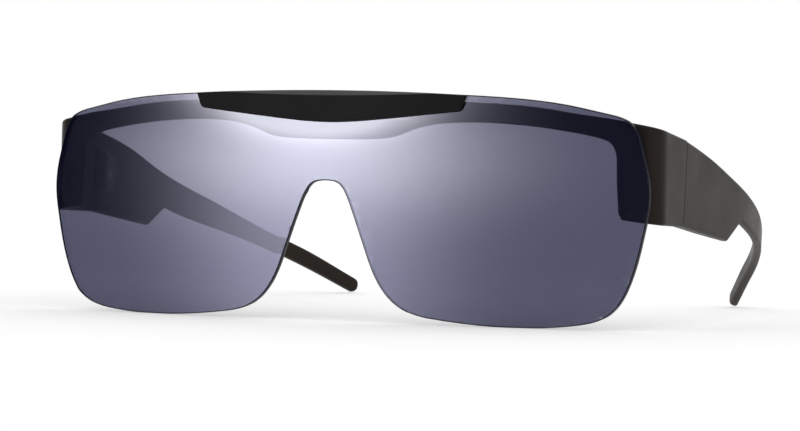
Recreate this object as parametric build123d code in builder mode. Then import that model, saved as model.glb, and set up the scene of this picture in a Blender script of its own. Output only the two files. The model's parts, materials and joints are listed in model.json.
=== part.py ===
from build123d import *
from math import asin, cos, degrees, radians, sin, sqrt
import os

# Fitover sunglasses, standing open on a table on the two lobes of the lens and the two
# temple tips. X runs to the wearer's left, Y towards the wearer and Z up, in millimetres.
# The origin lies on the table, under the middle of the box around them.

os.makedirs("parts", exist_ok=True)

# Lens: one spherical shield with a nose notch; drops are taken from its top
lens_width = 147.4
lens_height = 51.3
lens_thickness = 1.5
lens_radius = 330.0
lens_centre_drop = 27.6

# Front frame: a bar behind the top of the lens, a column and a side wall at each end
frame_width = 150.6
bar_depth = 4.0
wall_thickness = 3.0
lens_gap = 0.15
front_corner_radius = 5.0
inner_corner_radius = 2.0
column_foot_radius = 2.0
column_foot_rise = 2.55
shoulder_drop = 6.85
shoulder_fall_across = 0.15
shoulder_fall_back = 0.142
sill_drop = 28.2
sill_fall_across = 0.12
sill_fall_back = 0.04

# Brow bar: a trim on the front of the lens, with a lip over the lens's top edge
brow_length = 66.2
brow_height = 7.0
brow_rise = 0.3
brow_thickness = 1.5
brow_end_drop = 0.8
brow_end_height = 3.4
brow_end_slant = 1.4
brow_corner_radius = 1.6
brow_bevel_drop = 1.2
brow_bevel_slope = 0.39
lip_length = 60.0
lip_notch_depth = 1.1
fit_gap = 0.1

# Screws that clamp the lens between the brow bar and the frame
clamp_screw_spacing = 28.0
clamp_screw_drop = 4.1
clamp_boss_radius = 1.3
clamp_boss_sink = 1.0
clamp_screw_radius = 0.7
clamp_screw_bite = 2.4
clamp_head_radius = 1.4
clamp_head_height = 0.9
thread_gap = 0.05
driver_slot_width = 0.3

# Hinge: two knuckles on the frame, one on the temple, around an upright screw
hinge_setback = 27.5
hinge_drop = 19.25
hinge_tilt = 5.95
seam_height = 19.2
seam_gap = 0.35
leaf_length = 8.5
leaf_thickness = 0.9
barrel_radius = 1.6
barrel_height = 9.0
centre_knuckle_height = 3.4
knuckle_gap = 0.1
pivot_radius = 0.7
pivot_gap = 0.05
pivot_head_radius = 1.2
pivot_head_height = 0.6
pocket_gap = 0.25
leaf_screw_radius = 0.5
leaf_screw_head_radius = 0.95
leaf_screw_head_height = 0.5
leaf_screw_length = 2.3
leaf_screw_inset = 2.6

# Temple: a deep flat blade that steps up to a slim arm, bent in and down to its tip
temple_splay = 1.5
temple_length = 106.4
temple_drop = 32.05
blade_full_run = 12.0
blade_straight = 34.0
arm_thickness = 2.0
ear_bend_radius = 110.0
ear_bend_angle = 29.5
step_round = 1.3
tip_round = 1.6

# One overrun for every cut and extrusion that passes beyond its piece
overrun = 5.0

# Outlines as shares of the sizes that they follow, chosen by hand
lens_brow_shares = [(0.465, 0.990), (0.62, 0.977), (0.765, 0.950), (0.86, 0.921), (0.941, 0.877)]
lens_temple_shares = [(0.980, 0.745)]
lens_cheek_shares = [(0.988, 0.432), (0.944, 0.192), (0.8835, 0.0634), (0.757, 0.0107)]
lens_nose_shares = [
    (0.373, 0.0205), (0.2397, 0.0732), (0.1756, 0.1727), (0.1297, 0.3268), (0.0895, 0.4820),
    (0.0547, 0.5852),
]
lens_widest_share = 0.569
lens_lowest_share = 0.593
lens_notch_share = 0.6127
bar_top_shares = [(0.4515, 0.958), (0.624, 0.9425), (0.770, 0.914), (0.890, 0.893)]
bar_top_end_share = 0.878
bar_crest_share = 0.963
bar_underside_shares = [
    (0.1062, 0.7934), (0.166, 0.7992), (0.2032, 0.8109), (0.2404, 0.8324), (0.2776, 0.8499),
    (0.328, 0.8645), (0.380, 0.8710), (0.465, 0.8733), (0.5485, 0.8684), (0.6375, 0.8577),
    (0.757, 0.8333), (0.822, 0.8138), (0.858, 0.788), (0.8685, 0.763),
]
bar_bridge_share = 0.7914
column_side_shares = [(0.874, 0.680)]
column_inner_share = 0.882
brow_underside_shares = [(0.362, 0.103), (0.66, 0.25)]
temple_top_shares = [
    (0.0803, 0.268), (0.1755, 0.219), (0.2972, 0.137), (0.4462, 0.035), (0.5925, -0.0724),
    (0.7389, -0.2216), (0.8651, -0.363), (0.9927, -0.5465), (1.0498, -0.618),
]
temple_under_shares = [
    (0.4557, -0.2042), (0.5989, -0.2681), (0.743, -0.365), (0.8694, -0.501), (0.9964, -0.6675),
    (1.0498, -0.736),
]
step_low_share = (0.2791, -0.322)
step_high_share = (0.3637, -0.155)

# Places worked out from the sizes, with the lens's foremost point at Y 0 for now
lens_centre_height = lens_height - lens_centre_drop
brow_top_height = lens_height + brow_rise
brow_bevel_height = brow_top_height - brow_bevel_drop
clamp_screw_height = lens_height - clamp_screw_drop
shoulder_height = lens_height - shoulder_drop
sill_height = lens_height - sill_drop
hinge_height = lens_height - hinge_drop
lens_centre = (0, lens_radius, lens_centre_height)
brow_radius = lens_radius + lens_gap + brow_thickness
seat_radius = lens_radius - lens_thickness - lens_gap
side_x = frame_width / 2
wall_x = side_x - wall_thickness
pivot_x = wall_x + leaf_thickness - barrel_radius
half_lens = lens_width / 2


def placed(shares, across, up):
    """Points from their shares of a width and a height."""
    return [(x * across, z * up) for x, z in shares]


def front_view(depth):
    """Plane seen from the front, standing the given depth behind the lens's foremost point."""
    return Plane.XZ.offset(-depth)


# Hinge frame: X outwards, Y back along the temple, Z up the leaning pivot
hinge_plane = Plane((pivot_x, hinge_setback, hinge_height)).rotated((-hinge_tilt, 0, 0))
temple_plane = Plane(hinge_plane.location * Location((0, 0, 0), (0, 0, -temple_splay)))


def side_view(plane):
    """Plane across the hinge frame, with its X back along the temple and its Y up the pivot."""
    return Plane(origin=plane.origin, x_dir=plane.y_dir, z_dir=plane.x_dir)


def sag(x, z):
    """How far the front of the lens lies behind its foremost point, at a place on it."""
    return lens_radius - sqrt(lens_radius**2 - x**2 - (z - lens_centre_height) ** 2)


# Places of the two screws that clamp the lens, and the depths of their seats
clamp_x = clamp_screw_spacing / 2
clamp_sag = sag(clamp_x, clamp_screw_height)
boss_end = clamp_sag + lens_thickness + lens_gap + clamp_boss_sink
bar_back = clamp_sag + lens_thickness + lens_gap + bar_depth
head_seat = bar_back - clamp_head_height - fit_gap

# Lens: the outline cut through a spherical shell, with a notch for the brow bar's lip
with BuildPart() as shield_lens:
    with BuildSketch(front_view(hinge_setback)):
        with BuildLine():
            Spline(
                (0, lens_height), *placed(lens_brow_shares + lens_temple_shares, half_lens, lens_height),
                (half_lens, lens_height * lens_widest_share), tangents=((1, 0), (0, -1)),
            )
            Spline(
                (half_lens, lens_height * lens_widest_share),
                *placed(lens_cheek_shares, half_lens, lens_height),
                (half_lens * lens_lowest_share, 0), tangents=((0, -1), (-1, 0)),
            )
            Spline(
                (half_lens * lens_lowest_share, 0), *placed(lens_nose_shares, half_lens, lens_height),
                (0, lens_height * lens_notch_share), tangents=((-1, 0), (-1, 0)),
            )
            mirror(about=Plane.YZ)
        make_face()
    extrude(amount=hinge_setback + overrun)
    with Locations(lens_centre):
        Sphere(lens_radius, mode=Mode.INTERSECT)
        Sphere(lens_radius - lens_thickness, mode=Mode.SUBTRACT)
    with BuildSketch(front_view(hinge_setback)):
        with Locations((0, lens_height - lip_notch_depth)):
            Rectangle(lip_length + 2 * fit_gap, overrun, align=(Align.CENTER, Align.MIN))
        with Locations((0, clamp_screw_height)):
            with GridLocations(clamp_screw_spacing, 0, 2, 1):
                Circle(clamp_boss_radius + fit_gap)
    extrude(amount=hinge_setback + overrun, mode=Mode.SUBTRACT)

# Brow bar: the trim's outline cut through a thinner shell, less the room that the lens takes
with BuildPart() as lens_room:
    with Locations(lens_centre):
        Sphere(lens_radius + lens_gap)
    with BuildSketch(front_view(hinge_setback)):
        with Locations((0, lens_height - lip_notch_depth + fit_gap)):
            Rectangle(lip_length, overrun, align=(Align.CENTER, Align.MIN))
    extrude(amount=hinge_setback + overrun, mode=Mode.SUBTRACT)
    with Locations(lens_centre):
        Sphere(lens_radius - lens_thickness)

with BuildPart() as brow_bar:
    brow_underside = brow_top_height - brow_height
    half_brow = brow_length / 2
    with BuildSketch(front_view(hinge_setback)):
        with BuildLine():
            brow_crest = (0, brow_top_height)
            brow_tip = (half_brow, brow_top_height - brow_end_drop)
            brow_toe = (half_brow - brow_end_slant, brow_top_height - brow_end_drop - brow_end_height)
            Spline(brow_crest, brow_tip, tangents=((1, 0), (1, -2 * brow_end_drop / half_brow)))
            Line(brow_tip, brow_toe)
            Spline(
                brow_toe,
                *[(x * half_brow, brow_underside + z * brow_height) for x, z in brow_underside_shares[::-1]],
                (0, brow_underside), tangents=((-1, -0.1), (-1, 0)),
            )
            mirror(about=Plane.YZ)
        make_face()
    extrude(amount=hinge_setback + overrun)
    ends = brow_bar.edges().filter_by(Axis.Y).sort_by(Axis.X)
    fillet([ends[1], ends[-2]], brow_corner_radius)
    with Locations(lens_centre):
        Sphere(brow_radius, mode=Mode.INTERSECT)
    add(lens_room.part, mode=Mode.SUBTRACT)
    bevel = Plane(origin=(0, -lens_gap - brow_thickness, brow_bevel_height), z_dir=(0, -brow_bevel_slope, 1))
    split(bisect_by=bevel, keep=Keep.BOTTOM)
    with BuildSketch(front_view(boss_end)):
        with Locations((0, clamp_screw_height)):
            with GridLocations(clamp_screw_spacing, 0, 2, 1):
                Circle(clamp_boss_radius)
    extrude(amount=boss_end - clamp_sag + lens_gap + brow_thickness / 2)
    with BuildSketch(front_view(boss_end)):
        with Locations((0, clamp_screw_height)):
            with GridLocations(clamp_screw_spacing, 0, 2, 1):
                Circle(clamp_screw_radius + thread_gap)
    extrude(amount=clamp_screw_bite + fit_gap, mode=Mode.SUBTRACT)


def clamp_screw(x):
    """Screw from behind the frame into a boss of the brow bar."""
    with BuildPart() as screw:
        with BuildSketch(front_view(head_seat)):
            with Locations((x, clamp_screw_height)):
                Circle(clamp_screw_radius)
        extrude(amount=head_seat - boss_end + clamp_screw_bite)
        with BuildSketch(front_view(head_seat + clamp_head_height)):
            with Locations((x, clamp_screw_height)):
                Circle(clamp_head_radius)
        extrude(amount=clamp_head_height)
        with BuildSketch(front_view(head_seat + clamp_head_height)):
            with Locations((x, clamp_screw_height)):
                Rectangle(2 * clamp_head_radius, driver_slot_width)
        extrude(amount=clamp_head_height / 2, mode=Mode.SUBTRACT)
    return screw.part


def leaf_screw(plane, way, gap=0):
    """Small countersunk screw, or with a gap its hole, driven outwards through a hinge leaf."""
    head = Vector(barrel_radius - leaf_thickness, way * (leaf_length - leaf_screw_inset), 0)
    with BuildPart() as screw:
        with Locations(Plane(plane.from_local_coords(head), x_dir=plane.z_dir, z_dir=-plane.x_dir)):
            Cone(
                leaf_screw_radius + gap, leaf_screw_head_radius + gap, leaf_screw_head_height,
                align=(Align.CENTER, Align.CENTER, Align.MAX),
            )
            Cylinder(
                leaf_screw_radius + gap, leaf_screw_length + gap, align=(Align.CENTER, Align.CENTER, Align.MAX)
            )
    return screw.part


def hinge_leaf(plane, way, knuckles):
    """A hinge leaf: a plate let into the wall and knuckles, each given by its foot and its height."""
    with BuildPart() as leaf:
        with BuildSketch(plane.offset(-barrel_height / 2)):
            with Locations((barrel_radius - leaf_thickness / 2, way * (barrel_radius + pocket_gap + leaf_length) / 2)):
                Rectangle(leaf_thickness, leaf_length - barrel_radius - pocket_gap)
        extrude(amount=barrel_height)
        for foot, height in knuckles:
            with BuildSketch(plane.offset(foot)):
                Circle(barrel_radius)
                with Locations((barrel_radius - leaf_thickness / 2, way * leaf_length / 4)):
                    Rectangle(leaf_thickness, leaf_length / 2)
                Circle(pivot_radius + pivot_gap, mode=Mode.SUBTRACT)
            extrude(amount=height)
        add(leaf_screw(plane, way, thread_gap), mode=Mode.SUBTRACT)
    return leaf.part


def hinge_seat(plane, way):
    """Room that a wall gives to the hinge: a pocket for the barrel, a recess and a screw hole."""
    barrel_room = barrel_height / 2 + pivot_head_height + pocket_gap
    with BuildPart() as seat:
        with BuildSketch(plane.offset(-barrel_room)):
            Circle(barrel_radius + pocket_gap)
        extrude(amount=2 * barrel_room)
        with BuildSketch(plane.offset(-barrel_height / 2 - fit_gap)):
            with Locations((barrel_radius + thread_gap, 0)):
                Rectangle(
                    overrun, leaf_length + fit_gap, align=(Align.MAX, Align.MIN if way > 0 else Align.MAX)
                )
        extrude(amount=barrel_height + 2 * fit_gap)
        add(leaf_screw(plane, way, thread_gap))
    return seat.part


def bowl(radius, half_width, round_radius):
    """Left half of a ball cut off beside the lens's centre, with the rim of the cut rounded."""
    reach = degrees(asin((half_width - round_radius) / (radius - round_radius)))
    rim_y = lens_radius - sqrt((radius - round_radius) ** 2 - (half_width - round_radius) ** 2)
    with BuildPart() as ball:
        with BuildSketch(Plane.XY.offset(lens_centre_height)):
            with BuildLine():
                front = CenterArc((0, lens_radius), radius, -90, reach)
                rim = CenterArc((half_width - round_radius, rim_y), round_radius, reach - 90, 90 - reach)
                Polyline(rim @ 1, (half_width, lens_radius), (0, lens_radius), front @ 0)
            make_face()
        revolve(axis=Axis(lens_centre, (1, 0, 0)))
    return ball.part


# Front frame: the left half, mirrored

with BuildPart() as front_frame:
    with BuildSketch(front_view(hinge_setback + overrun)):
        with BuildLine():
            crest = (0, bar_crest_share * lens_height)
            outer_top = (side_x, bar_top_end_share * lens_height)
            outer_foot = (side_x, sill_height - overrun)
            inner_foot = (column_inner_share * side_x, sill_height - overrun)
            inner_side = (column_inner_share * side_x, sill_height + column_foot_rise)
            Spline(crest, *placed(bar_top_shares, side_x, lens_height), outer_top, tangents=((1, 0), (1, -0.1)))
            Polyline(outer_top, outer_foot, inner_foot, inner_side)
            Spline(
                inner_side, *placed((bar_underside_shares + column_side_shares)[::-1], side_x, lens_height),
                (0, bar_bridge_share * lens_height), tangents=((0, 1), (-1, 0)),
            )
            Line((0, bar_bridge_share * lens_height), crest)
        make_face()
    extrude(amount=hinge_setback + 2 * overrun)
    add(bowl(seat_radius, side_x, front_corner_radius), mode=Mode.INTERSECT)
    add(bowl(seat_radius - bar_depth, wall_x, inner_corner_radius), mode=Mode.SUBTRACT)
    corner = (side_x, sag(side_x, lens_centre_height))
    shoulder = Plane(origin=(*corner, shoulder_height), z_dir=(shoulder_fall_across, shoulder_fall_back, 1))
    sill = Plane(origin=(*corner, sill_height), z_dir=(sill_fall_across, sill_fall_back, 1))
    split(bisect_by=shoulder, keep=Keep.BOTTOM)
    split(bisect_by=sill, keep=Keep.TOP)
    fillet(front_frame.faces().sort_by(Axis.Z)[0].edges().sort_by(Axis.X)[0], column_foot_radius)
    seam = Plane(origin=hinge_plane.from_local_coords(Vector(0, -seam_gap / 2, 0)), z_dir=hinge_plane.y_dir)
    split(bisect_by=seam, keep=Keep.BOTTOM)
    add(hinge_seat(hinge_plane, -1), mode=Mode.SUBTRACT)
    with BuildSketch(front_view(boss_end + fit_gap)):
        with Locations((clamp_x, clamp_screw_height)):
            Circle(clamp_boss_radius + fit_gap)
    extrude(amount=lens_radius - seat_radius + clamp_boss_sink, mode=Mode.SUBTRACT)
    with BuildSketch(front_view(bar_back + overrun)):
        with Locations((clamp_x, clamp_screw_height)):
            Circle(clamp_screw_radius + fit_gap)
    extrude(amount=bar_back + overrun, mode=Mode.SUBTRACT)
    with BuildSketch(front_view(bar_back + overrun)):
        with Locations((clamp_x, clamp_screw_height)):
            Circle(clamp_head_radius + fit_gap)
    extrude(amount=bar_back + overrun - head_seat, mode=Mode.SUBTRACT)
    mirror(about=Plane.YZ)

# Left temple: its side view cut through its plan
blade_inner = wall_x - pivot_x
blade_outer = side_x - pivot_x
with BuildPart() as temple:
    with BuildSketch(side_view(temple_plane)):
        with BuildLine():
            step_low, step_high = placed([step_low_share, step_high_share], temple_length, temple_drop)
            top = Spline(
                (seam_gap / 2, seam_height / 2), *placed(temple_top_shares, temple_length, temple_drop)
            )
            underside = Spline(
                step_high, *placed(temple_under_shares, temple_length, temple_drop)
            )
            Polyline(step_high, step_low, (seam_gap / 2, -seam_height / 2), top @ 0)
            Line(top @ 1, underside @ 1)
        make_face()
    extrude(amount=temple_length, both=True)
    across = temple.edges().filter_by(Axis(temple_plane.origin, temple_plane.x_dir))
    side = side_view(temple_plane)
    fillet(
        [across.sort_by_distance(side.from_local_coords(Vector(*point)))[0] for point in (step_low, step_high)],
        step_round,
    )
    with BuildSketch(temple_plane):
        with BuildLine():
            bend = radians(ear_bend_angle)
            tip_run = (temple_length - blade_straight - ear_bend_radius * sin(bend)) / cos(bend)
            bend_centre = (blade_outer - arm_thickness / 2 - ear_bend_radius, blade_straight)
            outer_arc = CenterArc(bend_centre, ear_bend_radius + arm_thickness / 2, 0, ear_bend_angle)
            inner_arc = CenterArc(bend_centre, ear_bend_radius - arm_thickness / 2, 0, ear_bend_angle)
            outer_end = PolarLine(outer_arc @ 1, tip_run, 90 + ear_bend_angle) @ 1
            inner_end = PolarLine(inner_arc @ 1, tip_run, 90 + ear_bend_angle) @ 1
            Spline((blade_inner, blade_full_run), inner_arc @ 0, tangents=((0, 1), (0, 1)))
            Polyline(
                (blade_inner, blade_full_run), (blade_inner, -overrun), (blade_outer, -overrun), outer_arc @ 0
            )
            Line(outer_end, inner_end)
        make_face()
    extrude(amount=temple_length, both=True, mode=Mode.INTERSECT)
    tip_face = temple.faces().sort_by(Axis(temple_plane.origin, temple_plane.y_dir))[-1]
    fillet(tip_face.edges().filter_by(Axis(temple_plane.origin, temple_plane.z_dir), reverse=True), tip_round)
    add(hinge_seat(temple_plane, 1), mode=Mode.SUBTRACT)

# Hinges
outer_knuckle_height = (barrel_height - centre_knuckle_height) / 2 - knuckle_gap
front_leaf = hinge_leaf(
    hinge_plane, -1,
    [(-barrel_height / 2, outer_knuckle_height), (barrel_height / 2 - outer_knuckle_height, outer_knuckle_height)],
)
temple_leaf = hinge_leaf(temple_plane, 1, [(-centre_knuckle_height / 2, centre_knuckle_height)])

with BuildPart() as pivot_screw:
    with BuildSketch(hinge_plane.offset(-barrel_height / 2)):
        Circle(pivot_radius)
    extrude(amount=barrel_height)
    with BuildSketch(hinge_plane.offset(barrel_height / 2)):
        Circle(pivot_head_radius)
    extrude(amount=pivot_head_height)
    with BuildSketch(hinge_plane.offset(barrel_height / 2 + pivot_head_height)):
        Rectangle(2 * pivot_head_radius, driver_slot_width)
    extrude(amount=-pivot_head_height / 2, mode=Mode.SUBTRACT)

# Every piece under its name: the middle ones, and the left ones with their mirror images
pieces = {"shield_lens": shield_lens.part, "brow_bar": brow_bar.part, "front_frame": front_frame.part}
left_pieces = {
    "temple": temple.part, "front_hinge_leaf": front_leaf, "temple_hinge_leaf": temple_leaf,
    "hinge_pivot_screw": pivot_screw.part, "clamp_screw": clamp_screw(clamp_x),
    "front_leaf_screw": leaf_screw(hinge_plane, -1), "temple_leaf_screw": leaf_screw(temple_plane, 1),
}
for name, piece in left_pieces.items():
    pieces[f"{name}_left"] = piece
    pieces[f"{name}_right"] = mirror(piece, about=Plane.YZ)

# Move everything so that the origin lies under the middle, then hand each piece out
box = Compound(list(pieces.values())).bounding_box()
stand = Pos(0, -box.center().Y, -box.min.Z)
for name, piece in pieces.items():
    standing = stand * piece
    standing.label = name
    export_step(standing, f"parts/{name}.step")
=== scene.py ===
import json
from math import cos, radians, sin, sqrt

import bmesh
import bpy
from mathutils import Matrix, Vector


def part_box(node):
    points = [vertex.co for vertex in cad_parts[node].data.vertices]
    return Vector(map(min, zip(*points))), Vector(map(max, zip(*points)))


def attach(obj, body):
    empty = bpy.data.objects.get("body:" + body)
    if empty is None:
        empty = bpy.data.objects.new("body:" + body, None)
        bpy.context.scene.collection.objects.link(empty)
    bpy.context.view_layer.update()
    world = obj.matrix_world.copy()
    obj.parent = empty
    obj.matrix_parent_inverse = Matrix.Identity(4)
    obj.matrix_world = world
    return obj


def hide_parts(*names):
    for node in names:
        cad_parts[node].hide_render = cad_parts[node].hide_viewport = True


bl_info = {
    "name": "Fitover sunglasses",
    "version": (1, 0, 0),
    "blender": (4, 5, 0),
    "location": "3D View > Sidebar > Sunglasses",
    "description": "Finishes the packed fitover sunglasses and sets up their studio",
    "category": "Object",
}

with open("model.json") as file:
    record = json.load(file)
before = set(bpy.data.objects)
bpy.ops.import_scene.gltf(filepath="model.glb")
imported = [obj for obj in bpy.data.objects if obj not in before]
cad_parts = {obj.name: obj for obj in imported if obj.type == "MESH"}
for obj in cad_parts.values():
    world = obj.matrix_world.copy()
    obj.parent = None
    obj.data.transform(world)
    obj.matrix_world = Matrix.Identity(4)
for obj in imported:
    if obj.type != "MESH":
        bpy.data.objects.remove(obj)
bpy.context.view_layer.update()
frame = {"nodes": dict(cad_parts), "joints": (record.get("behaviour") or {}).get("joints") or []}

X_AXIS = Vector((1, 0, 0))
Y_AXIS = Vector((0, 1, 0))
Z_AXIS = Vector((0, 0, 1))
WHITE = (1.0, 1.0, 1.0, 1.0)

# The photograph's camera
IMAGE_WIDTH = 800
FOCAL_PIXELS = 3260.4
SENSOR_WIDTH = 36.0
CAMERA_TURN = radians(24.0)
CAMERA_RISE = radians(1.252)
CAMERA_ROLL = radians(0.9497)
CAMERA_DISTANCE = 0.71956
CAMERA_TARGET = Vector((0.018484, -0.065678, 0.024045))

# Sizes that the slices, the lens's curves and its light follow, as the model has them
CORNER_X = 0.0703
CORNER_Y = -0.0505
WALL_LOW = 0.0245
WALL_HIGH = 0.0405
SHOULDER_KNOT = Vector((0.0722, -0.0502, 0.04394))
LENS_FRONT_Y = -0.065678
LENS_RADIUS = 0.330
LENS_THICKNESS = 0.0015
LENS_CENTRE_Z = 0.0237
LENS_INDEX = 1.5
CLAMP_X = 0.014
CLAMP_Z = 0.0472
SPLAY = radians(1.5)
BLADE_OUTER = 0.0037
BLADE_STRAIGHT = 0.034
ARM_THICKNESS = 0.002
BEND_RADIUS = 0.110
BEND_ANGLE = radians(29.5)

# The brow bar's top bevel: where it meets the front, and which way it faces
BEVEL_LINE = Vector((0.0, -0.066155, 0.0504))
BEVEL_WAY = Vector((0.0, -0.6, 1.0)).normalized()

# Widths and numbers of the slices that give the curved pieces an even mesh
LENS_SLICE = 0.003
FRAME_SLICE = 0.0022
WALL_SLICE = 0.002
CORNER_TURN = 6  # degrees
BROW_SLICE = 0.002
TEMPLE_SLICE = 0.002
BEND_SLICES = 34
TIP_SLICES = 9
TIP_FAN = 17

# How close points are one, which facets belong to one face, and which edges are sharp
JOIN_REACH = 2e-6
SAME_PLACE = 1e-7
ON_PLANE = 1e-6
FACET_TURN = radians(8)
SHARP_TURN = radians(30)
SMOOTH_TURN = radians(32)

# Finishes of the plastics and of the lens's ground edge, as the grain group takes them, and
# the depths of their grain
MOULDED = {"Mottle": 0.12, "Roughness": 0.4, "Unevenness": 0.06, "Grain size": 0.00025}
SATIN = {**MOULDED, "Roughness": 0.42}
GROUND = {"Mottle": 0.15, "Roughness": 0.3, "Unevenness": 0.08, "Grain size": 0.0005}
MOULDED_DEPTH = 0.00003
SATIN_DEPTH = 0.00002
GROUND_DEPTH = 0.00001


def colour_prop(name, description, default):
    return bpy.props.FloatVectorProperty(
        name=name, description=description, default=default, subtype="COLOR", size=3,
        min=0.0, max=1.0,
    )


def length_prop(name, description, default):
    return bpy.props.FloatProperty(
        name=name, description=description, default=default, unit="LENGTH", subtype="DISTANCE",
        min=0.0,
    )


def share_prop(name, description, default):
    return bpy.props.FloatProperty(
        name=name, description=description, default=default, min=0.0, max=1.0
    )


def strength_prop(name, description, default):
    return bpy.props.FloatProperty(name=name, description=description, default=default, min=0.0)


class LensSettings(bpy.types.PropertyGroup):
    tint: colour_prop(
        "Tint", "Colour of the light that comes through the lens", (0.104, 0.104, 0.164)
    )
    mirror_index: bpy.props.FloatProperty(
        name="Mirror", description="Refractive index of the mirror coat; higher mirrors more",
        default=2.3, min=1.0, max=4.0,
    )
    rim_colour: colour_prop("Rim", "Colour of the lens's cut edge", (0.012, 0.012, 0.02))
    edge_round: length_prop("Edge round", "Radius of the lens's polished edge", 0.00025)


class PlasticSettings(bpy.types.PropertyGroup):
    frame_colour: colour_prop("Frame", "Colour of the front frame", (0.016, 0.0115, 0.0085))
    temple_colour: colour_prop("Temples", "Colour of the temples", (0.021, 0.0155, 0.0115))
    brow_colour: colour_prop("Brow bar", "Colour of the brow bar", (0.0085, 0.0072, 0.0062))
    gleam: share_prop("Gleam", "Strength of the plastics' gloss", 0.1)
    # Painted highlight: the brow bar's upward faces take a glossier copy of its plastic, with the
    # same roughness, so its top reads lighter
    painted_bevel_gleam: share_prop(
        "Bevel gleam", "Strength of the gloss on the brow bar's smoother top bevel", 0.29
    )
    edge_round: length_prop("Temple edges", "Radius of the temples' moulded edges", 0.0008)
    frame_round: length_prop("Frame edges", "Radius of the frame's moulded edges", 0.0006)
    brow_round: length_prop("Brow bar edges", "Radius of the brow bar's moulded edges", 0.0002)


class MetalSettings(bpy.types.PropertyGroup):
    hinge_colour: colour_prop("Hinges", "Colour of the hinge leaves", (0.07, 0.068, 0.066))
    screw_colour: colour_prop("Screws", "Colour of the screws", (0.2, 0.2, 0.2))


class StageSettings(bpy.types.PropertyGroup):
    floor_colour: colour_prop("Floor", "Colour of the floor", (0.95, 0.95, 0.95))
    room_level: share_prop("Room", "Level of the soft light from all round", 0.85)
    # Painted reflection: a dark panel with a softbox glowing in it that only reflections see,
    # which lights nothing
    reflected_panel_colour: colour_prop("Panel", "Colour of the dark panel in front", (0.01, 0.01, 0.04))
    reflected_softbox_colour: colour_prop(
        "Softbox", "Colour of the softbox in the dark panel", (0.94, 0.95, 1.0)
    )
    reflected_spill_colour: colour_prop("Spill", "Colour of the softbox's spill", (0.76, 0.77, 1.0))
    reflected_softbox_strength: strength_prop(
        "Softbox strength", "Radiance that the softbox's bright top rises towards", 24.0
    )
    reflected_softbox_limit: strength_prop(
        "Softbox limit", "Radiance at which the softbox's bright top levels off", 2.7
    )
    reflected_spill_strength: strength_prop("Softbox spill", "Radiance of the softbox's upright spill", 2.0)
    # Painted highlight in the lens: a glow behind it that only rays through the lens see, which
    # lights nothing
    painted_glow_colour: colour_prop(
        "Backlight", "Colour of the glow behind the lens", (1.0, 1.0, 0.66)
    )
    painted_glow_strength: strength_prop(
        "Backlight strength", "Radiance that the glow adds to the white", 3.7
    )


# Shader building blocks
def feed(tree, socket, value):
    """Link a socket to another one, or set it to a plain value."""
    if isinstance(value, bpy.types.NodeSocket):
        tree.links.new(value, socket)
    else:
        socket.default_value = value


def calculated(tree, operation, *values):
    """Result of a Math node whose inputs are sockets or numbers."""
    node = tree.nodes.new("ShaderNodeMath")
    node.operation = operation
    for socket, value in zip(node.inputs, values):
        feed(tree, socket, value)
    return node.outputs[0]


def ranged(tree, value, source, target):
    """Value carried over from a source range to a target range."""
    node = tree.nodes.new("ShaderNodeMapRange")
    names = ("From Min", "From Max", "To Min", "To Max")
    for name, number in zip(names, (*source, *target)):
        node.inputs[name].default_value = number
    feed(tree, node.inputs["Value"], value)
    return node.outputs["Result"]


def scaled(tree, colour, factor):
    """Colour times a factor."""
    node = tree.nodes.new("ShaderNodeVectorMath")
    node.operation = "SCALE"
    feed(tree, node.inputs[0], colour)
    feed(tree, node.inputs["Scale"], factor)
    return node.outputs[0]


def noise(tree, scale, detail, stretch=None, turn=0.0):
    """Noise on the piece's own coordinates, which a stretch squeezes and a turn tilts about Y."""
    place = tree.nodes.new("ShaderNodeTexCoord").outputs["Object"]
    if stretch:
        mapping = tree.nodes.new("ShaderNodeMapping")
        mapping.inputs["Scale"].default_value = stretch
        mapping.inputs["Rotation"].default_value = (0.0, turn, 0.0)
        feed(tree, mapping.inputs["Vector"], place)
        place = mapping.outputs["Vector"]
    texture = tree.nodes.new("ShaderNodeTexNoise")
    texture.inputs["Detail"].default_value = detail
    feed(tree, texture.inputs["Scale"], scale)
    feed(tree, texture.inputs["Vector"], place)
    return texture.outputs["Fac"]


def new_group(name, inputs, outputs):
    """Node group with sockets, where None stands for a colour, and the sockets inside it."""
    group = bpy.data.node_groups.new(name, "ShaderNodeTree")
    for way, sockets in (("INPUT", inputs), ("OUTPUT", outputs)):
        for label, value in sockets.items():
            kind = "NodeSocketColor" if value is None else "NodeSocketFloat"
            socket = group.interface.new_socket(label, in_out=way, socket_type=kind)
            if value is not None:
                socket.default_value = value
    into = group.nodes.new("NodeGroupInput").outputs
    out = group.nodes.new("NodeGroupOutput").inputs
    return group, into, out


def grain_group():
    """Fine moulded grain: mottled colour, uneven roughness and a small bump height."""
    group, into, out = new_group(
        "moulded_grain",
        {"Colour": None, "Mottle": 0.2, "Roughness": 0.5, "Unevenness": 0.1, "Grain size": 0.0004},
        {"Colour": None, "Roughness": 0.0, "Height": 0.0},
    )
    cloud = ranged(group, noise(group, 90.0, 4.0), (0.3, 0.7), (-1.0, 1.0))
    swing = calculated(group, "MULTIPLY_ADD", cloud, into["Mottle"], 1.0)
    rough = calculated(group, "MULTIPLY_ADD", cloud, into["Unevenness"], into["Roughness"])
    per_metre = calculated(group, "DIVIDE", 1.0, into["Grain size"])
    feed(group, out["Colour"], scaled(group, into["Colour"], swing))
    feed(group, out["Roughness"], rough)
    feed(group, out["Height"], noise(group, per_metre, 3.0))
    return group


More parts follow.
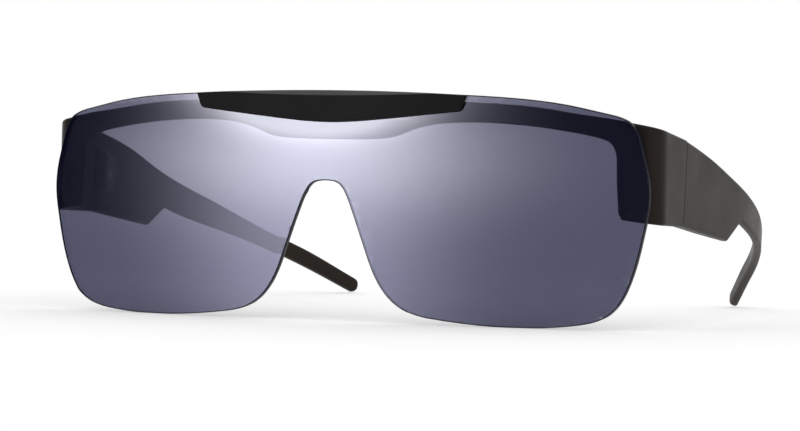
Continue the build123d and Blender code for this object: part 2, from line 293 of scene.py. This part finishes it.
def brushed_group():
    """Fine brushing drawn along one way: colour, roughness and a small bump height."""
    group, into, out = new_group(
        "brushed_steel",
        {"Colour": None, "Roughness": 0.35},
        {"Colour": None, "Roughness": 0.0, "Height": 0.0},
    )
    lines = noise(group, 1.0, 2.0, (9000.0, 600.0, 9000.0))
    shade = ranged(group, lines, (0.0, 1.0), (0.8, 1.2))
    feed(group, out["Colour"], scaled(group, into["Colour"], shade))
    feed(group, out["Roughness"], calculated(group, "MULTIPLY", into["Roughness"], shade))
    feed(group, out["Height"], lines)
    return group


def wiped_group():
    """Faint streaks that wiping leaves in a mirror coat: its cover and a small bump height."""
    group, into, out = new_group("wiped_coat", {"Wear": 0.05}, {"Cover": 0.0, "Height": 0.0})
    streaks = noise(group, 1.0, 3.0, (60.0, 60.0, 420.0), radians(12))
    worn = calculated(group, "MULTIPLY", streaks, into["Wear"])
    feed(group, out["Cover"], calculated(group, "SUBTRACT", 1.0, worn))
    feed(group, out["Height"], streaks)
    return group


def place_group(tree, name, build, values):
    """Outputs of a node group, built once, in a material with its own values."""
    node = tree.nodes.new("ShaderNodeGroup")
    node.node_tree = bpy.data.node_groups.get(name) or build()
    for label, value in values.items():
        node.inputs[label].default_value = value
    return node.outputs


def bumped(tree, shader, height, strength, distance):
    """Turn a height into the shader's normal."""
    bump = tree.nodes.new("ShaderNodeBump")
    bump.inputs["Strength"].default_value = strength
    bump.inputs["Distance"].default_value = distance
    feed(tree, bump.inputs["Height"], height)
    feed(tree, shader.inputs["Normal"], bump.outputs["Normal"])


def new_material(name):
    """Material of a name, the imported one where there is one, with a fresh shader."""
    material = bpy.data.materials.get(name) or bpy.data.materials.new(name)
    material.use_nodes = True
    tree = material.node_tree
    tree.nodes.clear()
    shader = tree.nodes.new("ShaderNodeBsdfPrincipled")
    out = tree.nodes.new("ShaderNodeOutputMaterial")
    feed(tree, out.inputs["Surface"], shader.outputs["BSDF"])
    return material, tree, shader


def plastic(name, colour, gleam, finish, depth):
    """Moulded plastic with the grain group feeding its colour, roughness and bump."""
    material, tree, shader = new_material(name)
    grain = place_group(tree, "moulded_grain", grain_group, {"Colour": (*colour, 1.0), **finish})
    feed(tree, shader.inputs["Base Color"], grain["Colour"])
    feed(tree, shader.inputs["Roughness"], grain["Roughness"])
    bumped(tree, shader, grain["Height"], 0.6, depth)
    shader.inputs["Specular IOR Level"].default_value = gleam
    return material


def metal(name, colour, roughness):
    """Dark steel with the brushing group feeding its colour, roughness and bump."""
    material, tree, shader = new_material(name)
    values = {"Colour": (*colour, 1.0), "Roughness": roughness}
    brushing = place_group(tree, "brushed_steel", brushed_group, values)
    feed(tree, shader.inputs["Base Color"], brushing["Colour"])
    feed(tree, shader.inputs["Roughness"], brushing["Roughness"])
    bumped(tree, shader, brushing["Height"], 0.3, 0.00002)
    shader.inputs["Metallic"].default_value = 1.0
    return material


def lens_material(name, settings, coat_index):
    """Tinted see-through lens under a coat with faint streaks of wiping."""
    material, tree, shader = new_material(name)
    shader.inputs["Base Color"].default_value = (*settings.tint, 1.0)
    shader.inputs["Roughness"].default_value = 0.0
    shader.inputs["IOR"].default_value = LENS_INDEX
    shader.inputs["Specular IOR Level"].default_value = 0.0
    shader.inputs["Transmission Weight"].default_value = 1.0
    wiped = place_group(tree, "wiped_coat", wiped_group, {})
    feed(tree, shader.inputs["Coat Weight"], wiped["Cover"])
    shader.inputs["Coat IOR"].default_value = coat_index
    shader.inputs["Coat Roughness"].default_value = 0.02
    bumped(tree, shader, wiped["Height"], 0.1, 0.000002)
    return material


def rim_material(settings):
    """The lens's cut edge, where its tint is too deep to see through."""
    return plastic("lens_rim", settings.rim_colour, 0.1, GROUND, GROUND_DEPTH)


def dress(node, material):
    """Give a carried-over node a better material in its own slots."""
    for slot in frame["nodes"][node].material_slots:
        slot.material = material


# Mesh building blocks
def clean_copy(node, accepts=None):
    """Mesh of a node with the facets whose normals accepts() takes merged into whole faces."""
    bm = bmesh.new()
    bm.from_mesh(frame["nodes"][node].data)
    bmesh.ops.remove_doubles(bm, verts=bm.verts, dist=JOIN_REACH)
    flat = [
        e for e in bm.edges
        if e.is_manifold and e.calc_face_angle() < FACET_TURN
        and (accepts is None or all(accepts(f.normal) for f in e.link_faces))
    ]
    bmesh.ops.dissolve_edges(bm, edges=flat, use_verts=False, use_face_split=False)
    return bm


def steps(width, first, last):
    """Places at whole steps of a width, from the first step to the last."""
    return [step * width for step in range(first, last + 1)]


def planes_at(axis, places):
    """Planes, each a point and a normal, square to an axis at places along it."""
    return [(place * axis, axis) for place in places]


def slice_across(bm, planes, accepts=None):
    """Cut the faces that accepts() takes by their middle and normal along each plane."""
    for point, normal in planes:
        faces = [
            f for f in bm.faces if accepts is None or accepts(f.calc_center_median(), f.normal)
        ]
        edges = {e for f in faces for e in f.edges}
        verts = {v for f in faces for v in f.verts}
        bmesh.ops.bisect_plane(
            bm, geom=[*verts, *edges, *faces], dist=SAME_PLACE, plane_co=point, plane_no=normal
        )


def drop_idle_points(bm, least_turn, accepts=None):
    """Leave out the points between slices, that accepts() takes, where an edge hardly turns."""
    idle = []
    for v in bm.verts:
        if len(v.link_edges) == 2 and (accepts is None or accepts(v.co)):
            one, two = (e.other_vert(v).co - v.co for e in v.link_edges)
            if one.angle(-two, 0.0) < least_turn:
                idle.append(v)
    bmesh.ops.dissolve_verts(bm, verts=idle)


def cut_away(bm, point, way):
    """Cut off what lies beyond a plane and close the cut with a face."""
    cut = bmesh.ops.bisect_plane(
        bm, geom=[*bm.verts, *bm.edges, *bm.faces], dist=SAME_PLACE, plane_co=point, plane_no=way,
        clear_outer=True,
    )
    edges = [e for e in cut["geom_cut"] if isinstance(e, bmesh.types.BMEdge) and e.is_boundary]
    bmesh.ops.edgeloop_fill(bm, edges=edges)


def clamped(place, reach):
    """Whether a place lies within reach of a clamp screw's axis."""
    return (abs(place.x) - CLAMP_X) ** 2 + (place.z - CLAMP_Z) ** 2 < reach**2


def round_edges(bm, chosen, radius, segments):
    """Round the sharp edges that chosen() takes by their middle, way and faces' normals."""
    edges = []
    for e in bm.edges:
        if e.is_manifold and e.calc_face_angle() > SHARP_TURN:
            one, two = (v.co for v in e.verts)
            if chosen((one + two) / 2, (two - one).normalized(), [f.normal for f in e.link_faces]):
                edges.append(e)
    bmesh.ops.bevel(
        bm, geom=edges, offset=radius, offset_type="OFFSET", segments=segments, profile=0.5,
        affect="EDGES", clamp_overlap=False, material=-1,
    )


def put_in_order(bm):
    """Sort the faces by their points, because slicing leaves them in an order that varies."""
    bm.verts.index_update()
    ordered = sorted(bm.faces, key=lambda face: sorted(vert.index for vert in face.verts))
    ranks = {face: rank for rank, face in enumerate(ordered)}
    bm.faces.sort(key=lambda face: ranks[face])


def finish_piece(bm, name, body, node, slot, *materials):
    """Turn the mesh into the object that stands for a node."""
    bmesh.ops.remove_doubles(bm, verts=bm.verts, dist=SAME_PLACE)
    put_in_order(bm)
    bmesh.ops.recalc_face_normals(bm, faces=bm.faces)
    for face in bm.faces:
        face.smooth = True
    for edge in bm.edges:
        edge.smooth = edge.calc_face_angle(0.0) < SMOOTH_TURN
    mesh = bpy.data.meshes.new(name)
    bm.to_mesh(mesh)
    bm.free()
    for material in materials:
        mesh.materials.append(material)
    piece = bpy.data.objects.new(name, mesh)
    bpy.context.collection.objects.link(piece)
    weigh = piece.modifiers.new("weighted_normals", "WEIGHTED_NORMAL")
    weigh.keep_sharp = True
    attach(piece, body)
    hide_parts(node)
    return piece


class HingeFrame:
    """Directions of a temple at rest: out, back along it and up the leaning pivot."""

    def __init__(self, side):
        joint = next(j for j in frame["joints"] if j["name"] == f"{side}_temple_fold")
        way = 1 if side == "left" else -1
        self.origin = Vector(joint["pos_m"])
        self.up = way * Vector(joint["axis"])
        square = Vector((way, 0, 0))
        level = Vector((0, self.up.z, -self.up.y))
        self.out = square * cos(SPLAY) - level * sin(SPLAY)
        self.back = square * sin(SPLAY) + level * cos(SPLAY)

    def local(self, point):
        """How far a point lies out, back and up from the pivot."""
        away = point - self.origin
        return Vector((away.dot(self.out), away.dot(self.back), away.dot(self.up)))

    def world(self, out, back):
        """Point that lies so far out and back from the pivot."""
        return self.origin + out * self.out + back * self.back


def fan(centre, first, last, count):
    """Planes through a centre, turning evenly from facing first, through last, to facing away."""
    angles = [radians(180) * step / (count + 1) for step in range(1, count + 1)]
    return [(centre, first * cos(angle) - last * sin(angle)) for angle in angles]


def temple_slices(hinge):
    """Planes square to the temple: along the blade, round the bend and along the tip."""
    centre = (BLADE_OUTER - ARM_THICKNESS / 2 - BEND_RADIUS, BLADE_STRAIGHT)
    along_blade = steps(TEMPLE_SLICE, 1, round(BLADE_STRAIGHT / TEMPLE_SLICE) - 1)
    planes = [(hinge.world(0, place), hinge.back) for place in along_blade]
    for step in range(BEND_SLICES + 1):
        angle = BEND_ANGLE * step / BEND_SLICES
        along = hinge.back * cos(angle) - hinge.out * sin(angle)
        planes.append((hinge.world(*centre), along))
    end = hinge.world(
        centre[0] + BEND_RADIUS * cos(BEND_ANGLE), centre[1] + BEND_RADIUS * sin(BEND_ANGLE)
    )
    planes += [(end + along * step * TEMPLE_SLICE, along) for step in range(1, TIP_SLICES + 1)]
    return planes


class GLASSES_OT_lens(bpy.types.Operator):
    """Finish the shield lens"""

    bl_idname = "glasses.lens"
    bl_label = "Lens"

    # How squarely a face looks along Y: one with a curved surface, and one clear of its rim
    curved_facing = 0.9
    surface_facing = 0.95
    screw_reach = 0.0025

    def execute(self, context):
        settings = context.scene.glasses_lens
        bm = clean_copy("shield_lens", lambda normal: abs(normal.y) > self.curved_facing)

        def outline(middle, way, normals):
            curved = any(abs(normal.y) > self.curved_facing for normal in normals)
            return curved and not clamped(middle, self.screw_reach)

        round_edges(bm, outline, settings.edge_round, 2)
        for face in bm.faces:
            if face.normal.y < -self.surface_facing:
                face.material_index = 0
            elif face.normal.y < self.surface_facing:
                face.material_index = 1
            else:
                face.material_index = 2
        across = planes_at(X_AXIS, steps(LENS_SLICE, -24, 24))
        upward = planes_at(Z_AXIS, steps(LENS_SLICE, 1, 16))
        slice_across(
            bm, across + upward, lambda middle, normal: abs(normal.y) > self.surface_facing
        )
        self.settle(bm)
        front = lens_material("tinted_lens", settings, settings.mirror_index)
        back = lens_material("tinted_lens_back", settings, LENS_INDEX)
        rim = rim_material(settings)
        finish_piece(bm, "lens_skin", "front", "shield_lens", "tinted_lens", front, rim, back)
        return {"FINISHED"}

    def settle(self, bm):
        """Move the points of the two curved faces onto their spheres, along Y."""
        for vert in bm.verts:
            faces = [f for f in vert.link_faces if abs(f.normal.y) > self.surface_facing]
            if faces:
                back = faces[0].normal.y > 0
                radius = LENS_RADIUS - (LENS_THICKNESS if back else 0.0)
                x, z = vert.co.x, vert.co.z - LENS_CENTRE_Z
                vert.co.y = LENS_FRONT_Y + LENS_RADIUS - sqrt(radius**2 - x**2 - z**2)


class GLASSES_OT_plastics(bpy.types.Operator):
    """Finish the frame, the brow bar and the temples"""

    bl_idname = "glasses.plastics"
    bl_label = "Frame and temples"

    # Points of the frame's two shoulders that lie so close that they are made one
    knot_reach = 0.0004
    knot_gap = 0.00022

    # What keeps its sharp edges: the screws' seats, the seam with the temple, the end of the
    # frame's bar, the hinge's seat in the blade and the back of the brow bar
    screw_reach = 0.0018
    seam_back = -0.0003
    seam_out = -0.003
    bar_end = CORNER_X - 0.0005
    blade_front = 0.0003
    seat_size = (0.0022, 0.009, 0.0056)
    brow_depth = 0.0045

    # How squarely an edge or a face has to look along an axis to count as facing it
    facing = 0.8

    def execute(self, context):
        settings = context.scene.glasses_plastic
        self.front(settings)
        self.brow(settings)
        material = plastic(
            "temple_plastic", settings.temple_colour, settings.gleam, MOULDED, MOULDED_DEPTH
        )
        for side in ("left", "right"):
            self.temple(side, settings, material)
        return {"FINISHED"}

    def front(self, settings):
        """Frame: slices across the bar, round the corners and along the walls, then its edges."""
        material = plastic(
            "frame_plastic", settings.frame_colour, settings.gleam, MOULDED, MOULDED_DEPTH
        )
        bm = clean_copy("front_frame")
        knots = [
            v for v in bm.verts
            if (Vector((abs(v.co.x), v.co.y, v.co.z)) - SHOULDER_KNOT).length < self.knot_reach
        ]
        bmesh.ops.remove_doubles(bm, verts=knots, dist=self.knot_gap)

        def in_bar(place, normal=None):
            return abs(place.x) < CORNER_X

        def in_end(place, normal=None):
            return abs(place.x) > CORNER_X

        def in_wall(place, normal=None):
            return in_end(place) and place.y > CORNER_Y

        def in_corner(place, normal=None):
            return in_end(place) and place.y < CORNER_Y

        slice_across(bm, planes_at(X_AXIS, (-CORNER_X, CORNER_X)))
        slice_across(bm, planes_at(Y_AXIS, [CORNER_Y]), in_end)
        slice_across(bm, planes_at(X_AXIS, steps(FRAME_SLICE, -31, 31)), in_bar)
        along_wall = [CORNER_Y + place for place in steps(WALL_SLICE, 1, 6)]
        slice_across(bm, planes_at(Y_AXIS, along_wall), in_wall)
        for way in (1, -1):
            axis = Vector((way * CORNER_X, CORNER_Y, 0.0))
            turns = [radians(turn) for turn in steps(CORNER_TURN, 1, 14)]
            planes = [(axis, Vector((way * cos(turn), sin(turn), 0.0))) for turn in turns]
            slice_across(
                bm, planes, lambda middle, normal: in_corner(middle) and way * middle.x > 0
            )
        drop_idle_points(bm, radians(3), in_bar)
        drop_idle_points(bm, radians(9), in_corner)
        bmesh.ops.symmetrize(
            bm, input=[*bm.verts, *bm.edges, *bm.faces], direction="X", dist=ON_PLANE
        )
        hinges = [HingeFrame(side) for side in ("left", "right")]

        def moulded_edge(middle, way, normals):
            for hinge in hinges:
                out, back, up = hinge.local(middle)
                if back > self.seam_back and out > self.seam_out:
                    return False
            if abs(middle.x) > self.bar_end:
                return middle.z < WALL_LOW or middle.z > WALL_HIGH
            return abs(way.y) < self.facing and not clamped(middle, self.screw_reach)

        round_edges(bm, moulded_edge, settings.frame_round, 3)
        finish_piece(bm, "front_frame_skin", "front", "front_frame", "frame_plastic", material)

    def brow(self, settings):
        """Brow bar: slices across it, its top bevel, then the edges round its front."""
        material = plastic(
            "brow_plastic", settings.brow_colour, settings.gleam, SATIN, SATIN_DEPTH
        )
        # Glossier copy of the brow plastic, with the same roughness, for the upward faces: a
        # painted highlight
        bevel = plastic(
            "brow_bevel_highlight", settings.brow_colour, settings.painted_bevel_gleam, SATIN, SATIN_DEPTH
        )
        bm = clean_copy("brow_bar")
        slice_across(bm, planes_at(X_AXIS, steps(BROW_SLICE, -15, 15)))
        drop_idle_points(bm, radians(2))
        cut_away(bm, BEVEL_LINE, BEVEL_WAY)
        back_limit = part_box("brow_bar")[0].y + self.brow_depth

        def outside(middle, way, normals):
            front = any(normal.y < -self.facing for normal in normals)
            return front and middle.y < back_limit and not clamped(middle, self.screw_reach)

        round_edges(bm, outside, settings.brow_round, 2)
        # Painted highlight: faces that look up take the glossier copy of the brow plastic
        for face in bm.faces:
            face.material_index = int(face.normal.z > self.facing)
        finish_piece(bm, "brow_bar_skin", "front", "brow_bar", "brow_plastic", material, bevel)

    def temple(self, side, settings, material):
        """Temple: slices along it and round its tip, then its long edges."""
        hinge = HingeFrame(side)
        bm = clean_copy(f"temple_{side}")
        planes = temple_slices(hinge)
        slice_across(bm, planes)
        drop_idle_points(bm, radians(3))
        point, along = planes[-1]

        def in_tip(place, normal=None):
            return (place - point).dot(along) > ON_PLANE

        last = [v.co for v in bm.verts if abs((v.co - point).dot(along)) < ON_PLANE]
        centre = sum(last, Vector()) / len(last)
        slice_across(bm, fan(centre, hinge.up, along, TIP_FAN), in_tip)
        drop_idle_points(bm, radians(9), in_tip)

        def long_edge(middle, way, normals):
            out, back, up = hinge.local(middle)
            seat_out, seat_back, seat_up = self.seat_size
            seated = out < seat_out and back < seat_back and abs(up) < seat_up
            return back > self.blade_front and not seated

        round_edges(bm, long_edge, settings.edge_round, 4)
        finish_piece(
            bm, f"temple_skin_{side}", f"{side}_temple_arm", f"temple_{side}", "temple_plastic",
            material,
        )


class GLASSES_OT_metals(bpy.types.Operator):
    """Finish the hinges and the screws"""

    bl_idname = "glasses.metals"
    bl_label = "Hinges and screws"

    def execute(self, context):
        settings = context.scene.glasses_metal
        hinge = metal("hinge_steel", settings.hinge_colour, 0.35)
        screw = metal("screw_steel", settings.screw_colour, 0.3)
        for name in frame["nodes"]:
            if "screw" in name:
                dress(name, screw)
            elif "leaf" in name:
                dress(name, hinge)
        return {"FINISHED"}


def aimed(location, right, up):
    """Matrix that places an object with the given right and up directions."""
    back = right.cross(up)
    return Matrix.Translation(location) @ Matrix((right, up, back)).transposed().to_4x4()


def viewpoint():
    """The camera's place and its right, up and backward directions."""
    turn, rise, roll = CAMERA_TURN, CAMERA_RISE, CAMERA_ROLL
    back = Vector((sin(turn) * cos(rise), -cos(turn) * cos(rise), sin(rise)))
    level = Vector((cos(turn), sin(turn), 0.0))
    upright = back.cross(level)
    right = level * cos(roll) + upright * sin(roll)
    up = upright * cos(roll) - level * sin(roll)
    return CAMERA_TARGET + CAMERA_DISTANCE * back, right, up, back


def seen_as_background(tree):
    """1 for rays that the camera, a mirror or glass looks along, 0 for rays that only light."""
    path = tree.nodes.new("ShaderNodeLightPath").outputs
    seen = calculated(tree, "MAXIMUM", path["Is Camera Ray"], path["Is Glossy Ray"])
    return calculated(tree, "MAXIMUM", seen, path["Is Transmission Ray"])


def stage_card(name, bm, material):
    """Object of the stage from a flat mesh."""
    mesh = bpy.data.meshes.new(name)
    bm.to_mesh(mesh)
    bm.free()
    mesh.materials.append(material)
    card = bpy.data.objects.new(name, mesh)
    bpy.context.collection.objects.link(card)
    return card


class GLASSES_OT_stage(bpy.types.Operator):
    """Set up the floor, the light and the camera"""

    bl_idname = "glasses.stage"
    bl_label = "Stage"

    # Level that the camera sees the bare floor at, just over white
    floor_level = 1.02

    # Shares of a card's half size within which its own colour shows, and how flat that is
    fade_share = (0.6, 0.65)
    fade_flatness = 3.0

    # Softbox panel, a painted reflection that only reflections see and that lights nothing: its
    # direction from the glasses, 1 m away, its half size and its lobes
    panel_turn = radians(-27.6)
    panel_rise = radians(8.0)
    panel_middle = Vector((0.0, -0.066, 0.03))
    panel_half_size = (3.2, 0.95)
    top_centre, top_spread = (0.0, 0.063), (0.102, 0.043)
    spill_centre, spill_spread = (0.01, 0.0), (0.173, 0.364)

    # Painted glow card, a painted highlight that only rays through the lens see and no lamp: its
    # place in the picture, right and up of the middle in pixels
    glow_pixels = (-82, 59)
    glow_distance = 1.02
    glow_half_size = (0.2, 0.1)
    glow_spread = (0.035, 0.0121)

    def execute(self, context):
        settings = context.scene.glasses_stage
        self.floor(settings)
        self.room(settings)
        self.reflected_softbox(settings)
        self.painted_lens_glow(settings)
        self.camera(context.scene)
        context.scene.view_settings.view_transform = "Standard"
        return {"FINISHED"}

    def floor(self, settings):
        """Pale floor; what the camera sees of it is lifted to white, less the object's shadow."""
        bm = bmesh.new()
        bmesh.ops.create_grid(bm, x_segments=2, y_segments=2, size=4.0)
        material, tree, shader = new_material("floor")
        shader.inputs["Base Color"].default_value = (*settings.floor_colour, 1.0)
        shader.inputs["Roughness"].default_value = 0.9
        shader.inputs["Specular IOR Level"].default_value = 0.0
        shader.inputs["Emission Color"].default_value = WHITE
        missing = self.floor_level - settings.room_level * sum(settings.floor_colour) / 3
        lift = calculated(tree, "MULTIPLY", seen_as_background(tree), missing)
        feed(tree, shader.inputs["Emission Strength"], lift)
        floor = stage_card("floor", bm, material)
        floor.visible_glossy = False

    def room(self, settings):
        """Even soft light from all round, that camera, mirrors and glass see as white."""
        world = bpy.data.worlds.new("room")
        world.use_nodes = True
        bpy.context.scene.world = world
        tree = world.node_tree
        background = tree.nodes["Background"].inputs
        level = ranged(tree, seen_as_background(tree), (0.0, 1.0), (settings.room_level, 1.0))
        feed(tree, background["Strength"], level)
        background["Color"].default_value = WHITE

    def reflected_softbox(self, settings):
        """Painted reflection: a dark panel in front with a softbox glowing in it, that only
        reflections see; it lights nothing, and the camera looks past it.
        """
        turn, rise = self.panel_turn, self.panel_rise
        towards = Vector((sin(turn) * cos(rise), -cos(turn) * cos(rise), sin(rise)))
        right = Z_AXIS.cross(towards).normalized()
        top = (
            self.top_centre, self.top_spread,
            settings.reflected_softbox_colour, settings.reflected_softbox_strength, settings.reflected_softbox_limit,
        )
        spill = (
            self.spill_centre, self.spill_spread,
            settings.reflected_spill_colour, settings.reflected_spill_strength, None,
        )
        card = self.glow("reflected_softbox", self.panel_half_size, settings.reflected_panel_colour, (top, spill))
        card.matrix_world = aimed(self.panel_middle + towards, right, towards.cross(right))
        # Only reflections see the card, so its dark panel and bright lobes are painted reflections
        # that light nothing
        card.visible_camera = card.visible_diffuse = False
        card.visible_transmission = card.visible_shadow = False

    def painted_lens_glow(self, settings):
        """Painted highlight: a glow on the white background that only rays through the lens see;
        it lights nothing.
        """
        eye, right, up, back = viewpoint()
        across, rise = self.glow_pixels
        away = (right * across + up * rise - back * FOCAL_PIXELS).normalized()
        lobe = (
            (0.0, 0.0), self.glow_spread,
            settings.painted_glow_colour, settings.painted_glow_strength, None,
        )
        card = self.glow("painted_lens_glow", self.glow_half_size, WHITE[:3], [lobe])
        card.matrix_world = aimed(eye + self.glow_distance * away, right, up)
        # Only rays through the lens see this card, so its glow is a painted highlight that lights
        # nothing
        card.visible_camera = card.visible_diffuse = False
        card.visible_glossy = card.visible_shadow = False

    def glow(self, name, half_size, base, lobes):
        """Card that glows in bell-shaped lobes though it is no lamp, for the painted reflection
        and the painted lens glow; its base colour fades to white at its rim.
        """
        bm = bmesh.new()
        bmesh.ops.create_grid(bm, x_segments=4, y_segments=4, size=1.0)
        bmesh.ops.scale(bm, vec=(*half_size, 1.0), verts=bm.verts)
        material = bpy.data.materials.new(name)
        material.use_nodes = True
        tree = material.node_tree
        tree.nodes.clear()
        shade = tree.nodes.new("ShaderNodeMix")
        shade.data_type = "RGBA"
        shade.inputs["A"].default_value = WHITE
        shade.inputs["B"].default_value = (*base, 1.0)
        fade = [half * share for half, share in zip(half_size, self.fade_share)]
        inside = self.bell(tree, (0.0, 0.0), fade, self.fade_flatness)
        feed(tree, shade.inputs["Factor"], inside)
        total = self.light(tree, shade.outputs["Result"], 1.0)
        for centre, spread, colour, strength, limit in lobes:
            level = calculated(tree, "MULTIPLY", self.bell(tree, centre, spread, 1.0), strength)
            if limit is not None:
                level = calculated(tree, "SMOOTH_MIN", level, limit, limit / 2)
            both = tree.nodes.new("ShaderNodeAddShader")
            feed(tree, both.inputs[0], total)
            feed(tree, both.inputs[1], self.light(tree, (*colour, 1.0), level))
            total = both.outputs["Shader"]
        out = tree.nodes.new("ShaderNodeOutputMaterial")
        feed(tree, out.inputs["Surface"], total)
        return stage_card(name, bm, material)

    def light(self, tree, colour, strength):
        """Light of a colour and a strength, each a socket or a plain value."""
        node = tree.nodes.new("ShaderNodeEmission")
        feed(tree, node.inputs["Color"], colour)
        feed(tree, node.inputs["Strength"], strength)
        return node.outputs["Emission"]

    def bell(self, tree, centre, spread, flatness):
        """Bell curve, 1 at a place on the card; a flatness above 1 gives it a flat top."""
        place = tree.nodes.new("ShaderNodeTexCoord")
        scale = tree.nodes.new("ShaderNodeMapping")
        scale.vector_type = "TEXTURE"
        scale.inputs["Location"].default_value = (*centre, 0.0)
        scale.inputs["Scale"].default_value = (*spread, 1.0)
        feed(tree, scale.inputs["Vector"], place.outputs["Object"])
        square = tree.nodes.new("ShaderNodeVectorMath")
        square.operation = "DOT_PRODUCT"
        feed(tree, square.inputs[0], scale.outputs["Vector"])
        feed(tree, square.inputs[1], scale.outputs["Vector"])
        flat = calculated(tree, "POWER", square.outputs["Value"], flatness)
        return calculated(tree, "EXPONENT", calculated(tree, "MULTIPLY", flat, -0.5))

    def camera(self, scene):
        """The camera that took the photograph."""
        eye, right, up, back = viewpoint()
        data = bpy.data.cameras.new("camera")
        data.sensor_width = SENSOR_WIDTH
        data.lens = SENSOR_WIDTH * FOCAL_PIXELS / IMAGE_WIDTH
        data.clip_start, data.clip_end = 0.01, 100.0
        camera = bpy.data.objects.new("camera", data)
        bpy.context.collection.objects.link(camera)
        camera.matrix_world = aimed(eye, right, up)
        scene.camera = camera


class GLASSES_PT_panel(bpy.types.Panel):
    bl_label = "Sunglasses"
    bl_idname = "GLASSES_PT_panel"
    bl_space_type = "VIEW_3D"
    bl_region_type = "UI"
    bl_category = "Sunglasses"

    def draw(self, context):
        for operator in OPERATORS:
            self.layout.operator(operator.bl_idname)
        for group in SETTINGS:
            settings = getattr(context.scene, group)
            for name in settings.__annotations__:
                self.layout.prop(settings, name)


OPERATORS = (GLASSES_OT_lens, GLASSES_OT_plastics, GLASSES_OT_metals, GLASSES_OT_stage)
SETTINGS = {
    "glasses_lens": LensSettings, "glasses_plastic": PlasticSettings,
    "glasses_metal": MetalSettings, "glasses_stage": StageSettings,
}
CLASSES = (*SETTINGS.values(), *OPERATORS, GLASSES_PT_panel)


def register():
    for each in CLASSES:
        bpy.utils.register_class(each)
    for name, group in SETTINGS.items():
        setattr(bpy.types.Scene, name, bpy.props.PointerProperty(type=group))


def unregister():
    for name in SETTINGS:
        delattr(bpy.types.Scene, name)
    for each in reversed(CLASSES):
        bpy.utils.unregister_class(each)


def main():
    register()
    bpy.ops.glasses.lens()
    bpy.ops.glasses.plastics()
    bpy.ops.glasses.metals()
    bpy.ops.glasses.stage()


if __name__ == "__main__":
    main()
